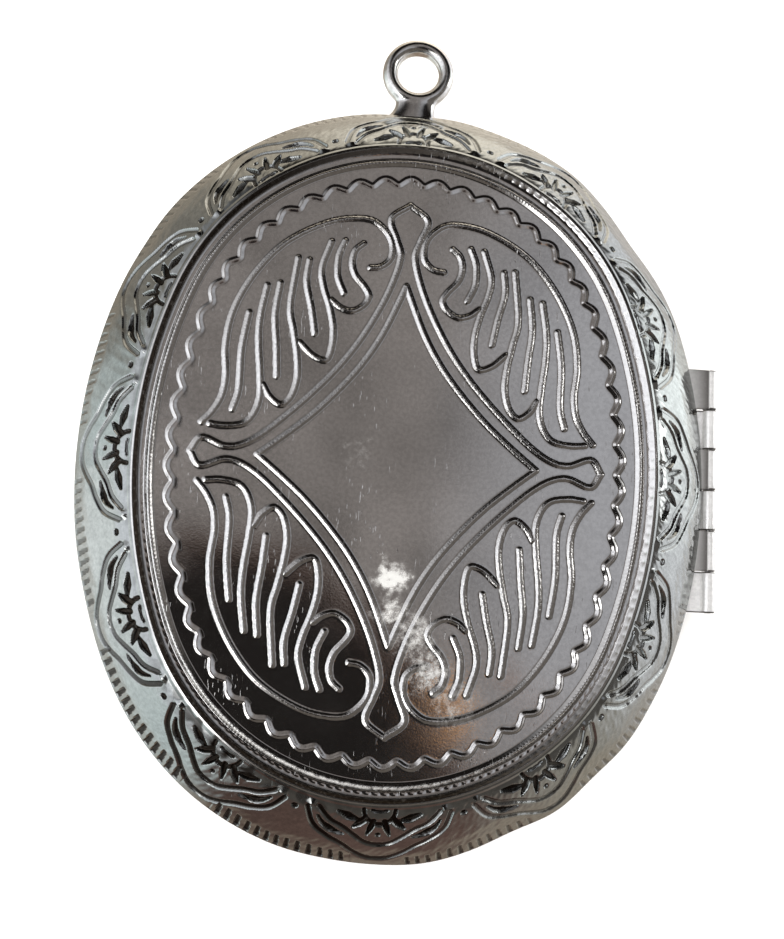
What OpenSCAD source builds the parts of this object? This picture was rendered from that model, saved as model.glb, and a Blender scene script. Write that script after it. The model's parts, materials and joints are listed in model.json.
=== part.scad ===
// Oval locket, lying closed on its back. The front faces +Z, the neck ring +Y and the hinge +X.
// The origin is the centre of the flat that the back rests on.

/* [Case] */
// Width of the case, without its hinge
case_width = 40.3; // [37.3:0.5:43.3]
// Distance between the centres of a side arc and an end arc. The case is 0.576 of it longer than wide
arc_spread = 14.75; // [12.5:0.25:17]
// Depth of each half, from its edge to its flat
half_depth = 4.2; // [3.9:0.1:4.8]
// Thickness of the stamped metal
wall = 0.5; // [0.4:0.05:0.6]
// Width of the sloping rim
rim_width = 4.8; // [4.6:0.1:5]
// Upright edge at the foot of the rim
edge_height = 0.3; // [0.2:0.05:0.5]
// How full the rim bulges: 1 is a straight slope
rim_fullness = 1.8; // [1.5:0.1:2.2]
// Gap between the edges of the two halves
edge_gap = 0.05; // [0.03:0.01:0.1]
// Height of the closing lip inside the edge of the back
lip_height = 0.5; // [0.3:0.05:0.5]

/* [Relief] */
// Height of the raised lines on the field
line_height = 0.2; // [0.1:0.05:0.45]
// Width of the raised lines on the field
line_width = 0.5; // [0.35:0.05:0.6]
// Height of the raised ornament on the rim
rim_relief = 0.25; // [0.15:0.05:0.35]
// Number of shells round the rim
shells = 12; // [12:1:12]
// Number of scallops in the wavy line
scallops = 58; // [50:2:64]

/* [Hinge] */
// Number of knuckles, shared in turn by the back and the front
knuckles = 6; // [4:2:8]
// Length of the whole hinge
hinge_length = 16; // [14:0.5:17]
// Radius of a knuckle
knuckle_r = 0.45; // [0.4:0.05:0.6]
// Radius of the hinge pin
pin_r = 0.2; // [0.15:0.01:0.25]
// Gap round the pin in a knuckle of the front
pin_gap = 0.05; // [0.03:0.01:0.08]

/* [Neck ring] */
// Radius of the hole that a chain's ring passes through
ring_hole_r = 1.4; // [1.1:0.05:1.5]
// Outer radius of the neck ring
ring_r = 2.45; // [2.2:0.05:2.6]
// Distance from the edge of the case to the middle of the neck ring
ring_reach = 3.3; // [3:0.1:4]
// Distance that the ring and its neck stand to the right of the middle
ring_side = 0.35; // [0:0.05:0.5]
// Width of the neck under the ring
neck_width = 2.2; // [1.8:0.1:2.6]
// Width of the curved foot that seats the neck on the back
foot_width = 4; // [3:0.5:6]

/* [Hidden] */
$fn = 64;
DIST = 0;   // column: distance in from the edge of the case
RISE = 1;   // column: height over the edge of its half

// The case's outline is four arcs: two wide ones at the sides and two round ones at the ends.
// They meet on lines through their centres. The lines' direction has exact decimals: 44, 117, 125.
meet = [0.936, 0.352];
half_w = case_width / 2;
side_x = arc_spread * meet[0];
end_y = arc_spread * meet[1];
side_r = half_w + side_x;
end_r = side_r - arc_spread;
half_l = end_r + end_y;
turn = atan2(meet[1], meet[0]);
ARC_X = 0;
ARC_Y = 1;
ARC_R = 2;
ARC_FROM = 3;
ARC_SPAN = 4;
arcs = [
    [-side_x, 0, side_r, -turn, 2 * turn],
    [0, end_y, end_r, turn, 180 - 2 * turn],
    [side_x, 0, side_r, 180 - turn, 2 * turn],
    [0, -end_y, end_r, 180 + turn, 180 - 2 * turn],
];
parting = half_depth;                      // height of the plane where the halves meet
stretch = [half_w / 20.15, half_l / 24.4]; // the charted lines are drawn on a case of 40.3 by 48.8

// The rim's slope and the rings inside it, as rows of distance and rise.
rim_steps = 7;
function rim_rise(d) = edge_height
    + (half_depth - edge_height) * (1 - pow(1 - min(d, rim_width) / rim_width, rim_fullness));
function rim_rows(to) = concat([[0, 0]],
    [for (i = [0:rim_steps]) let (d = to * i / rim_steps) [d, rim_rise(d)]]);
function rounded(rows) = [for (r = rows) [for (v = r) round(v * 1000) / 1000]];
border_d = 4.2;
field_d = 5.85;
field_rise = half_depth - 0.15;
ring_rows = [
    [border_d + 0.05, half_depth],
    [border_d + 0.4, half_depth - 0.22],
    [border_d + 0.92, half_depth - 0.26],
    [border_d + 1.22, half_depth - 0.03],
    [border_d + 1.3, half_depth - 0.03],
    [field_d, field_rise],
];
plate_d = 6.6;                         // the flat plate starts here, inside the swept rim
band_end = plate_d + 0.5;              // and the swept rim runs on this far under it

// The inside of the wall keeps its thickness square to the slope.
function slope_at(d) = let (e = 0.05, t = [2 * e, rim_rise(d + e) - rim_rise(max(0, d - e))]) t / norm(t);
function inner_rows(flat) = concat([[band_end, flat - wall]],
    [for (i = [rim_steps:-1:1]) let (d = rim_width * i / rim_steps, t = slope_at(d))
        [d + wall * t[1], min(flat, rim_rise(d)) - wall * t[0]]],
    [[wall, edge_height], [wall, 0]]);

// The whole wall of each half in section, from its edge over the outside and back along the inside.
front_section = concat(rim_rows(border_d), ring_rows, [[band_end, field_rise]], inner_rows(field_rise));
back_section = concat(rim_rows(rim_width), [[band_end, half_depth]], inner_rows(half_depth));

// Charted lines of the field: one quarter, mirrored to the other three. Columns are x and y.
lozenge_inner = [[0, 11.1], [1.2, 8.2], [2.4, 6.1], [3.8, 4.3], [5.4, 2.6], [7, 1.2], [8.5, 0]];
lozenge_outer = [[0, 16.4], [1.15, 15.45], [0.75, 14.1], [0.45, 13], [0.9, 11.2], [1.7, 9.3], [2.8, 7.3],
    [4, 5.6], [5.4, 4], [6.8, 2.6], [8.2, 1.35], [9.4, 0.6], [10.5, 0.4], [11.9, 0.85], [12.55, 0]];
wing_edge = [[2.3, 12.15], [1.6, 12.3], [1.05, 12.9], [1.05, 13.9], [1.6, 14.75], [2.6, 15.3], [4.4, 15.15],
    [6.2, 14.4], [7.8, 13.3], [9.1, 11.8], [10.1, 10.1], [10.7, 8.4], [10.9, 6.5], [10.75, 4.8],
    [10.9, 3.5], [11.4, 2.5], [12, 1.8]];
feathers = [
    [[11.5, 1.72], [10.6, 1.65], [9.5, 1.85], [8.9, 2.5], [8.6, 3.6], [8.7, 5.2], [8.9, 7], [8.9, 8.6],
        [8.6, 10.6]],
    [[8.45, 4.3], [8, 3.6], [7.3, 3.15], [6.7, 3.7], [6.4, 4.9], [6.5, 6.3], [6.8, 7.8], [7.1, 9.4],
        [6.8, 12.5]],
    [[6.4, 7.1], [5.5, 6.3], [4.7, 6.1], [4.4, 7], [4.4, 8.2], [4.7, 9.5], [5.15, 10.8], [5.3, 12],
        [4.8, 13.7]],
    [[4.6, 9.9], [4, 9.45], [3.3, 9.3], [2.6, 9.7], [2.3, 10.3], [2.6, 10.9], [3.2, 11.6], [3.45, 12.4],
        [3.3, 13.2], [2.8, 13.7]],
];
quills = [
    [[10.2, 2.7], [9.9, 4], [9.9, 6.5], [9.6, 8.8]],
    [[7.65, 4.9], [7.8, 6.8], [8, 8.8], [7.8, 10.8]],
    [[5.5, 7.7], [5.8, 9.3], [6.2, 11], [6.1, 12.4]],
    [[3.85, 10.4], [4.3, 11.5], [4.3, 12.8], [3.95, 13.8]],
];

// Charted lines of one shell on the rim. Columns are the distance along the rim and in from its edge.
shell_outer = [[-4.5, 3.3], [-3.9, 2.4], [-3, 1.85], [-2.1, 1.45], [-1.4, 1], [-0.7, 0.65], [0, 0.55],
    [0.7, 0.65], [1.4, 1], [2.1, 1.45], [3, 1.85], [3.9, 2.4], [4.5, 3.3]];
shell_inner = [[-3.7, 3.5], [-3, 2.95], [-2.1, 2.6], [-1.3, 2.1], [-0.7, 1.75], [0, 1.6],
    [0.7, 1.75], [1.3, 2.1], [2.1, 2.6], [3, 2.95], [3.7, 3.5]];
shell_eye = [[-0.8, 3.95], [-0.6, 3.35], [0, 3.1], [0.6, 3.35], [0.8, 3.95]];
chart_pitch = 10.53;                   // length along the rim that the shell is charted on

// Length along the rim is measured on the outline moved in by mid_d.
mid_d = 2.4;
function arc_length(a) = (a[ARC_R] - mid_d) * a[ARC_SPAN] * PI / 180;
side_len = arc_length(arcs[0]);
end_len = arc_length(arcs[1]);
round_len = 2 * (side_len + end_len);
pitch = round_len / shells;

function on_arc(a, s, d) = let (t = a[ARC_FROM] + s / (a[ARC_R] - mid_d) * 180 / PI)
    [a[ARC_X] + (a[ARC_R] - d) * cos(t), a[ARC_Y] + (a[ARC_R] - d) * sin(t)];

// The point at length s round the case from the middle of the right side, d in from the edge.
function on_case(s, d) = let (q = (s + side_len / 2 + round_len) % round_len)
    q < side_len ? on_arc(arcs[0], q, d)
    : q < side_len + end_len ? on_arc(arcs[1], q - side_len, d)
    : q < 2 * side_len + end_len ? on_arc(arcs[2], q - side_len - end_len, d)
    : on_arc(arcs[3], q - 2 * side_len - end_len, d);

// The outline of a line of width w drawn through points p.
function ribbon(p, w) = let (
    last = len(p) - 1,
    side = [for (i = [0:last]) let (t = p[min(i + 1, last)] - p[max(i - 1, 0)]) [-t[1], t[0]] / norm(t)])
    concat([for (i = [0:last]) p[i] + side[i] * w / 2], [for (i = [last:-1:0]) p[i] - side[i] * w / 2]);

// The space round the case that belongs to a side arc or an end arc.
far = 50;
module side_space() {
    translate([0, 0, -far / 2])
        linear_extrude(far)
            polygon([[-side_x, 0], [far * meet[0] - side_x, -far * meet[1]],
                [far * meet[0] - side_x, far * meet[1]]]);
}
module end_space() {
    translate([0, 0, -far / 2])
        linear_extrude(far)
            polygon([[0, end_y], [far * meet[0], end_y + far * meet[1]], [far * meet[0], end_y + far],
                [-far * meet[0], end_y + far], [-far * meet[0], end_y + far * meet[1]]]);
}

// Turns a closed section of rows round the case.
module ring_of(x, y, r, rows) {
    translate([x, y, 0])
        rotate_extrude()
            polygon([for (q = rounded(rows)) [r - q[DIST], q[RISE]]]);
}
module band(rows) {
    for (m = [0, 1]) {
        mirror([m, 0, 0]) intersection() {
            ring_of(-side_x, 0, side_r, rows);
            side_space();
        }
        mirror([0, m, 0]) intersection() {
            ring_of(0, end_y, end_r, rows);
            end_space();
        }
    }
}

// A flat plate with the case's outline moved in by d.
plate_points = 96;
module plate(d, thickness) {
    linear_extrude(thickness)
        polygon([for (i = [0:plate_points - 1]) on_case(round_len * i / plate_points, d)]);
}

module quarters() {
    for (mx = [0, 1], my = [0, 1])
        mirror([mx, 0, 0]) mirror([0, my, 0]) children();
}

function charted(p) = [for (q = p) [q[0] * stretch[0], q[1] * stretch[1]]];

// The raised lines on the flat field: the lozenge and the four wings.
sink = 0.2;                            // raised lines reach this far down into the wall
module field_relief() {
    translate([0, 0, field_rise - sink])
        linear_extrude(line_height + sink)
            quarters() {
                polygon(ribbon(charted(lozenge_inner), line_width));
                polygon(ribbon(charted(lozenge_outer), line_width));
                polygon(ribbon(charted(wing_edge), line_width));
                for (f = feathers) polygon(ribbon(charted(f), line_width));
                for (q = quills) polygon(ribbon(charted(q), line_width));
            }
}

// The wavy line round the field.
wave_d = 6.4;
wave_depth = 0.22;
wave_width = 0.3;
wave_height = 0.2;
wave_steps = 4;                        // straight steps in each scallop
module wavy_line() {
    n = scallops * wave_steps;
    function wave(d) = [for (i = [0:n - 1])
        on_case(round_len * i / n, d + wave_depth * (1 - 2 * abs(sin(180 * i / wave_steps))))];
    translate([0, 0, field_rise - sink])
        linear_extrude(wave_height + sink)
            difference() {
                polygon(wave(wave_d - wave_width / 2));
                polygon(wave(wave_d + wave_width / 2));
            }
}

function on_rim(k, p) = [for (q = p) on_case(k * pitch + q[0] * pitch / chart_pitch, q[1])];

// The ornament of the rim, seen square on: in each shell two arched lines over a round eye.
outer_width = 0.4;
inner_width = 0.35;
module shell_lines() {
    for (k = [0:shells - 1]) {
        polygon(ribbon(on_rim(k, shell_outer), outer_width));
        polygon(ribbon(on_rim(k, shell_inner), inner_width));
        polygon(on_rim(k, shell_eye));
    }
}

// The layer over the rim that the shells are cut from. It reaches a little way into the wall.
layer_to = border_d - 0.15;
layer_sink = 0.1;
layer_rows = concat([for (r = rim_rows(layer_to)) [r[DIST], r[RISE] + rim_relief]],
    [for (i = [rim_steps:-1:0]) let (d = layer_to * i / rim_steps)
        [d + layer_sink, rim_rise(d) - layer_sink]]);

module front_relief() {
    field_relief();
    wavy_line();
    intersection() {
        linear_extrude(half_depth) shell_lines();
        band(layer_rows);
    }
}

// Repeats a piece at every other knuckle. Each half is drawn edge down, with the hinge's axis at height 0.
knuckle_length = hinge_length / knuckles;
joint_gap = 0.06;
hinge_x = half_w + knuckle_r + 0.1;
module knuckle_row(first) {
    for (i = [first:2:knuckles - 1])
        translate([hinge_x, i * knuckle_length - hinge_length / 2 + joint_gap / 2, 0])
            children();
}

// A rod along the hinge's axis, as long as a knuckle and a bit more at each end.
module rod(r, more) {
    translate([0, -more, 0])
        rotate([-90, 0, 0])
            cylinder(r = r, h = knuckle_length - joint_gap + 2 * more);
}

// The flat leaves that tie the knuckles to their half's wall. Each ends in the middle of the wall.
leaf_rise = 0.1;
leaf_thickness = 0.3;
function wall_x(y) = sqrt(pow(side_r - wall / 2, 2) - y * y) - side_x;
module leaves(first) {
    for (i = [first:2:knuckles - 1])
        let (y = i * knuckle_length - hinge_length / 2 + joint_gap / 2, w = knuckle_length - joint_gap)
            translate([0, 0, leaf_rise])
                linear_extrude(leaf_thickness)
                    polygon([[hinge_x, y], [hinge_x, y + w],
                        for (part = [1, 0.5, 0]) [wall_x(y + w * part), y + w * part]]);
}

// A stamped half with its knuckles: the swept wall, the flat plate and any relief, less the bores.
module half(section, flat, lift, first, bore_r) {
    difference() {
        union() {
            translate([0, 0, lift]) {
                band(section);
                translate([0, 0, flat - wall]) plate(plate_d, wall);
                children();
            }
            leaves(first);
            knuckle_row(first) rod(knuckle_r, 0);
        }
        knuckle_row(first) rod(bore_r, 1);
    }
}

// The ring for the chain, its neck and the curved foot on the edge of the back. The inside of the
// ring's hole is a short straight wall between rounded faces.
ring_roundness = 0.57;                 // radius of the ring's section as a share of its width
ring_drop = 0.04;                      // the ring's top lies this far under the parting plane
section_r = (ring_r - ring_hole_r) * ring_roundness;
neck_z = parting - section_r - ring_drop;
neck_from = half_l - 0.75;             // the neck starts inside the wall of the back
neck_to = half_l + ring_reach - ring_hole_r - 0.15;
foot_in = 0.6;                         // the foot reaches this far into the case
foot_out = 0.25;                       // and this far out
module neck_ring() {
    translate([ring_side, half_l + ring_reach, neck_z])
        rotate_extrude()
            intersection() {
                translate([ring_r - section_r, 0]) circle(r = section_r);
                translate([ring_hole_r, -ring_r]) square([ring_r, 2 * ring_r]);
            }
    side = neck_width / 2 - section_r;
    for (x = [-side, side])
        translate([ring_side + x, neck_from, neck_z])
            rotate([-90, 0, 0])
                cylinder(r = section_r, h = neck_to - neck_from);
    translate([ring_side - side, neck_from, neck_z - section_r])
        cube([2 * side, neck_to - neck_from, 2 * section_r]);
    foot_angle = foot_width / end_r * 90 / PI;
    translate([0, end_y, neck_z])
        rotate([0, 0, 90 - foot_angle])
            rotate_extrude(angle = 2 * foot_angle)
                translate([end_r - foot_in, -section_r])
                    square([foot_in + foot_out, 2 * section_r]);
}

// The lip that the front closes over. It stands on the inside of the wall of the back.
lip_inset = 0.25;                      // from the inside of the edge to the lip
lip_thickness = 0.3;
lip_root = 1.1;                        // the lip reaches this far down into the wall
module closing_lip() {
    from = wall + lip_inset;
    to = from + lip_thickness;
    band([[from, -lip_root], [from, lip_height], [to, lip_height], [to, -lip_root]]);
}

module back_cover() {
    color("silver") {
        translate([0, 0, parting])
            mirror([0, 0, 1]) half(back_section, half_depth, 0, 0, pin_r + 0.03);
        translate([0, 0, parting]) closing_lip();
        neck_ring();
    }
}

module front_cover() {
    color("gainsboro")
        translate([0, 0, parting])
            half(front_section, field_rise, edge_gap, 1, pin_r + pin_gap) front_relief();
}

module hinge_pin() {
    color("gray")
        translate([hinge_x, -hinge_length / 2, parting])
            rotate([-90, 0, 0])
                cylinder(r = pin_r, h = hinge_length);
}

back_cover();
front_cover();
hinge_pin();
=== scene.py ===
# An oval locket of stamped silver plate, lying closed on its back on a pale floor.
import math
import bmesh
import bpy
import numpy as np
from mathutils import Matrix, Vector
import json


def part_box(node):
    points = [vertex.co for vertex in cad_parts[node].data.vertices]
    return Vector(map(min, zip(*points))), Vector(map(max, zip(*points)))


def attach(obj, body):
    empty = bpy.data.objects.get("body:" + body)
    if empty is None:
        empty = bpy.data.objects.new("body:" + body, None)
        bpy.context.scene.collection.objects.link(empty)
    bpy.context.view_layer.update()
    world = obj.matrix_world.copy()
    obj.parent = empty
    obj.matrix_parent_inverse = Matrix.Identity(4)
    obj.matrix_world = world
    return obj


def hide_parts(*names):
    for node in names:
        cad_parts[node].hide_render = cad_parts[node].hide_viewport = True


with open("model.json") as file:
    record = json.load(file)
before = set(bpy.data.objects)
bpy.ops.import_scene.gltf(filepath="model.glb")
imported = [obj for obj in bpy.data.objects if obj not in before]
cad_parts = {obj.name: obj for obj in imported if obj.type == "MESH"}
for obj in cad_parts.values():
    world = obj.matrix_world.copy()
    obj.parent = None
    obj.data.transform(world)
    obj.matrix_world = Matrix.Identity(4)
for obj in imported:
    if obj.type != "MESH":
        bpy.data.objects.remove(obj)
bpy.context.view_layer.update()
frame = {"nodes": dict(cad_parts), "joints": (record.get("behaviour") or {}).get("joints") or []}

MM = 0.001                    # shapes are worked out in millimetres, and meshes are in metres

# Sizes from the frame
front_low, front_high = (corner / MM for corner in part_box("front_cover"))
back_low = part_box("back_cover")[0] / MM
hinge = Vector(frame["joints"][0]["pos_m"]) / MM
PARTING = hinge.z             # height of the plane where the halves meet
HALF_W = -front_low.x
HALF_L = front_high.y
HALF_DEPTH = PARTING
EDGE_GAP = 0.05               # the front's edge lies this far over the parting plane
WALL = 0.5
RIM_WIDTH = 4.8
EDGE_HEIGHT = 0.3
RIM_FULLNESS = 1.8
FIELD_RISE = HALF_DEPTH - 0.2

# The case's outline is four arcs, two wide ones at the sides and two round ones at the ends. They meet
# on lines through their centres, in the direction MEET.
MEET = (0.936, 0.352)
SPREAD = (HALF_L - HALF_W) / (MEET[0] + MEET[1] - 1)
SIDE_X = SPREAD * MEET[0]
END_Y = SPREAD * MEET[1]
SIDE_R = HALF_W + SIDE_X
END_R = SIDE_R - SPREAD
TURN = math.atan2(MEET[1], MEET[0])
MID_D = 2.4                   # lengths round the case are measured this far in from its edge
SIDE_LEN = (SIDE_R - MID_D) * 2 * TURN
END_LEN = (END_R - MID_D) * (math.pi - 2 * TURN)
ROUND_LEN = 2 * (SIDE_LEN + END_LEN)
ARCS = [                      # centre x and y, radius, first angle, length
    (-SIDE_X, 0, SIDE_R, -TURN, SIDE_LEN),
    (0, END_Y, END_R, TURN, END_LEN),
    (SIDE_X, 0, SIDE_R, math.pi - TURN, SIDE_LEN),
    (0, -END_Y, END_R, math.pi + TURN, END_LEN),
]
SHELLS = 12
PITCH = ROUND_LEN / SHELLS
CHART_PITCH = 10.53           # length of rim that one shell is charted on
SCALLOPS = 58
BEADS = 204


def on_case(s, d):
    """The plan x and y at length s round the case from the middle of its right side, d in from its edge."""
    s, d = np.broadcast_arrays((s + SIDE_LEN / 2) % ROUND_LEN, d)
    x, y = np.zeros(s.shape), np.zeros(s.shape)
    start = 0.0
    for cx, cy, radius, first, length in ARCS:
        angle = first + (s - start) / (radius - MID_D)
        here = (s >= start) & (s <= start + length)
        x = np.where(here, cx + (radius - d) * np.cos(angle), x)
        y = np.where(here, cy + (radius - d) * np.sin(angle), y)
        start += length
    return x, y


def inset(x, y):
    """How far in from the case's edge a plan point lies, and the direction inwards there."""
    ax, ay = np.abs(x), np.abs(y)
    side = ay * MEET[0] <= (ax + SIDE_X) * MEET[1]
    cx, cy = np.where(side, -SIDE_X, 0), np.where(side, 0, END_Y)
    radius = np.where(side, SIDE_R, END_R)
    reach = np.maximum(np.hypot(ax - cx, ay - cy), 1e-9)
    inward_x = -(ax - cx) / reach * np.where(x < 0, -1, 1)
    inward_y = -(ay - cy) / reach * np.where(y < 0, -1, 1)
    return radius - reach, inward_x, inward_y


def smoothstep(t):
    t = np.clip(t, 0, 1)
    return t * t * (3 - 2 * t)


def bell(t, middle, width):
    return np.exp(-((t - middle) / width) ** 2)


def ridge(distance, half_width):
    """A raised line's section, 0 to 1: even slopes with a rounded crest and soft feet."""
    t = distance / half_width
    v = 1.06 - np.sqrt(t * t + 0.02)
    return np.where(t < 1.6, 0.5 * (v + np.sqrt(v * v + 0.008)), 0)


# Charted lines of the field: one quarter, mirrored to the other three. Columns are x and y.
LOZENGE_INNER = [(0, 11.1), (1.2, 8.2), (2.4, 6.1), (3.8, 4.3), (5.4, 2.6), (7, 1.2), (8.5, 0)]
LOZENGE_OUTER = [(0, 16.4), (1.15, 15.45), (0.75, 14.1), (0.45, 13), (0.9, 11.2), (1.7, 9.3), (2.8, 7.3),
                 (4, 5.6), (5.4, 4), (6.8, 2.6), (8.2, 1.35), (9.4, 0.6), (10.5, 0.4), (11.9, 0.85),
                 (12.55, 0)]
WING_EDGE = [(2.3, 12.15), (1.6, 12.3), (1.05, 12.9), (1.05, 13.9), (1.6, 14.75), (2.6, 15.3), (4.4, 15.15),
             (6.2, 14.4), (7.8, 13.3), (9.1, 11.8), (10.1, 10.1), (10.7, 8.4), (10.9, 6.5), (10.75, 4.8),
             (10.9, 3.5), (11.4, 2.5), (12, 1.8)]
FEATHERS = [
    [(11.5, 1.72), (10.6, 1.65), (9.5, 1.85), (8.9, 2.5), (8.6, 3.6), (8.7, 5.2), (8.9, 7), (8.9, 8.6),
     (8.6, 10.6)],
    [(8.45, 4.3), (8, 3.6), (7.3, 3.15), (6.7, 3.7), (6.4, 4.9), (6.5, 6.3), (6.8, 7.8), (7.1, 9.4),
     (6.8, 12.5)],
    [(6.4, 7.1), (5.5, 6.3), (4.7, 6.1), (4.4, 7), (4.4, 8.2), (4.7, 9.5), (5.15, 10.8), (5.3, 12),
     (4.8, 13.7)],
    [(4.6, 9.9), (4, 9.45), (3.3, 9.3), (2.6, 9.7), (2.3, 10.3), (2.6, 10.9), (3.2, 11.6), (3.45, 12.4),
     (3.3, 13.2), (2.8, 13.7)],
]
QUILLS = [
    [(10.2, 2.7), (9.9, 4), (9.9, 6.5), (9.6, 8.8)],
    [(7.65, 4.9), (7.8, 6.8), (8, 8.8), (7.8, 10.8)],
    [(5.5, 7.7), (5.8, 9.3), (6.2, 11), (6.1, 12.4)],
    [(3.85, 10.4), (4.3, 11.5), (4.3, 12.8), (3.95, 13.8)],
]

# Charted lines of one half of a shell on the rim. Columns are the distance along the rim from the
# shell's middle and in from the case's edge. SLOT and RAYS are sunken: RAYS has the columns middle
# along, middle in, half length, half width and the turn from straight in, in degrees.
SHELL_OUTER = [(-0.7, 0.6), (0, 0.5), (0.7, 0.6), (1.4, 0.95), (2.1, 1.4), (3, 1.8), (3.9, 2.35),
               (4.5, 3.3)]
SHELL_INNER = [(-0.7, 1.7), (0, 1.58), (0.7, 1.7), (1.3, 2.05), (2.1, 2.55), (3, 2.9), (3.8, 3.5)]
SLOT = [(2.05, 2.1), (2.7, 2.25), (3.3, 2.5), (3.75, 2.95)]
RAYS = [
    (1.95, 3.35, 0.68, 0.27, 76),
    (1.2, 2.98, 0.46, 0.26, 48),
    (0.5, 2.7, 0.46, 0.22, 20),
]
EYE_RX = 0.85
EYE_TOP = 3.15
EYE_FOOT = 3.95


def smooth_line(points, step=0.03):
    """Points close together on a smooth curve through the charted ones."""
    p = np.array(points, float)
    p = np.vstack([2 * p[0] - p[1], p, 2 * p[-1] - p[-2]])
    out = []
    for a, b, c, e in zip(p, p[1:], p[2:], p[3:]):
        n = max(2, int(np.linalg.norm(c - b) / step))
        t = (np.arange(n) / n)[:, None]
        out.append(0.5 * (2 * b + (c - a) * t + (2 * a - 5 * b + 4 * c - e) * t * t
                          + (3 * b - a - 3 * c + e) * t ** 3))
    return np.vstack(out + [p[-2][None]])


class Chart:
    """Fine square tables over charted lines, which meshes then read at any point: the height, how dark it
    is with tarnish and painted shade, and how worn."""

    def __init__(self, low, high, cell):
        self.low, self.cell = np.array(low, float), cell
        n = [int(math.ceil((b - a) / cell)) + 1 for a, b in zip(low, high)]
        self.u = low[0] + cell * np.arange(n[0])
        self.v = low[1] + cell * np.arange(n[1])
        self.height, self.tarnish, self.worn = np.zeros(n), np.zeros(n), np.zeros(n)
        self.near = np.full(n, 99.0)

    def window(self, p, margin):
        """The part of the tables that lies round some points."""
        first = np.maximum((p.min(0) - margin - self.low) / self.cell, 0).astype(int)
        last = ((p.max(0) + margin - self.low) / self.cell).astype(int) + 2
        return slice(first[0], last[0]), slice(first[1], last[1])

    def trace(self, points, margin):
        """Keeps the distance to the nearest of the lines traced so far."""
        p = smooth_line(points)
        at = self.window(p, margin)
        u, v = self.u[at[0]], self.v[at[1]]
        near = self.near[at]
        for x, y in p:
            np.minimum(near, np.hypot(u[:, None] - x, v[None] - y), out=near)

    def sink_line(self, points, half_width, depth, widths=(1, 1, 1), dark=1.0):
        """A flat-bottomed mark along a line, dark inside. widths are shares of half_width at its start,
        middle and end."""
        p = smooth_line(points)
        at = self.window(p, half_width)
        u, v = self.u[at[0]], self.v[at[1]]
        sunk = np.zeros((len(u), len(v)))
        for k, (x, y) in enumerate(p):
            wide = half_width * np.interp(k / (len(p) - 1), (0, 0.5, 1), widths)
            np.maximum(sunk, 1 - np.hypot(u[:, None] - x, v[None] - y) / wide, out=sunk)
        self.height[at] = np.minimum(self.height[at], -depth * smoothstep(sunk / 0.6))
        self.tarnish[at] = np.maximum(self.tarnish[at], dark * smoothstep((sunk - 0.1) / 0.35))

    def read(self, table, u, v):
        """A table's values at any points, between its own."""
        i = np.clip((u - self.low[0]) / self.cell, 0, table.shape[0] - 1.001)
        j = np.clip((v - self.low[1]) / self.cell, 0, table.shape[1] - 1.001)
        i0, j0 = i.astype(int), j.astype(int)
        a, b = i - i0, j - j0
        return ((table[i0, j0] * (1 - a) + table[i0 + 1, j0] * a) * (1 - b)
                + (table[i0, j0 + 1] * (1 - a) + table[i0 + 1, j0 + 1] * a) * b)


LINE_HALF = 0.195
LINE_RISE = 0.084


def chart_field():
    chart = Chart((0, 0), (13.6, 18), 0.025)
    for line in [LOZENGE_INNER, LOZENGE_OUTER, WING_EDGE] + FEATHERS + QUILLS:
        chart.trace(line, 1.7 * LINE_HALF)
    chart.height = LINE_RISE * ridge(chart.near, LINE_HALF)
    chart.worn = smoothstep(1.3 - chart.near / LINE_HALF)
    # painted shade: a thin dark line along the feet of the raised lines
    chart.tarnish = 0.2 * bell(chart.near, LINE_HALF + 0.04, 0.05)
    return chart


def chart_shell():
    chart = Chart((0, 0), (CHART_PITCH / 2, 4.1), 0.02)
    u, v = np.meshgrid(chart.u, chart.v, indexing="ij")
    # the band between the two arched lines swells
    chart.trace([((a[0] + b[0]) / 2, (a[1] + b[1]) / 2) for a, b in zip(SHELL_OUTER, SHELL_INNER)]
                + [(4.25, 3.5)], 1)
    chart.height = 0.13 * np.cos(np.minimum(chart.near / 0.55, 1) * math.pi / 2) ** 2
    # the eye is a raised half button
    r = np.hypot(u / EYE_RX, (EYE_FOOT - v) / (EYE_FOOT - EYE_TOP))
    eye = (v < EYE_FOOT + 0.1) * 0.2 * np.sqrt(np.clip(1 - r ** 2, 0, 1))
    chart.height = np.maximum(chart.height, eye)
    chart.sink_line(SHELL_OUTER, 0.2, 0.13, dark=0.45)
    chart.sink_line(SHELL_INNER, 0.19, 0.13, dark=0.45)
    chart.sink_line(SLOT, 0.26, 0.24, widths=(0.35, 1, 0.35))
    for along, inwards, half, wide, turned in RAYS:
        a, flat = math.radians(turned), turned > 60
        in_part = -half * math.cos(a) if flat else half * math.cos(a)
        ends = [(along - k * half * math.sin(a), inwards + k * in_part) for k in (-1, 0, 1)]
        chart.sink_line(ends, wide, 0.24, widths=(0.4, 1, 0.5) if flat else (0.4, 1, 1))
    chart.sink_line([(-0.02, 2.3), (0, 2.3), (0.02, 2.3)], 0.16, 0.15)
    chart.sink_line([(-0.5, 3.82), (0, 3.76), (0.5, 3.82)], 0.1, 0.1, dark=0.5)
    # a ring round the eye
    ring = [(1.02 * math.sin(t), EYE_FOOT - 0.98 * math.cos(t)) for t in np.linspace(-0.3, 1.45, 9)]
    chart.sink_line(ring, 0.17, 0.14)
    # a dot in the gap
    chart.sink_line([(5.2, 3.1), (5.27, 3.1), (5.3, 3.1)], 0.17, 0.16)
    return chart


field_chart = chart_field()
shell_chart = chart_shell()


def waves(x, y, seed, size):
    """Slow smooth unevenness, between about -1 and 1, with features of that size."""
    rng = np.random.default_rng(seed)
    total = np.zeros(np.shape(x))
    for _ in range(6):
        angle, phase = rng.uniform(0, 2 * math.pi, 2)
        k = 2 * math.pi / (size * rng.uniform(0.7, 1.6))
        total = total + np.sin(k * (x * math.cos(angle) + y * math.sin(angle)) + phase)
    return total / 3


FIELD_DOME = 0.12


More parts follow.
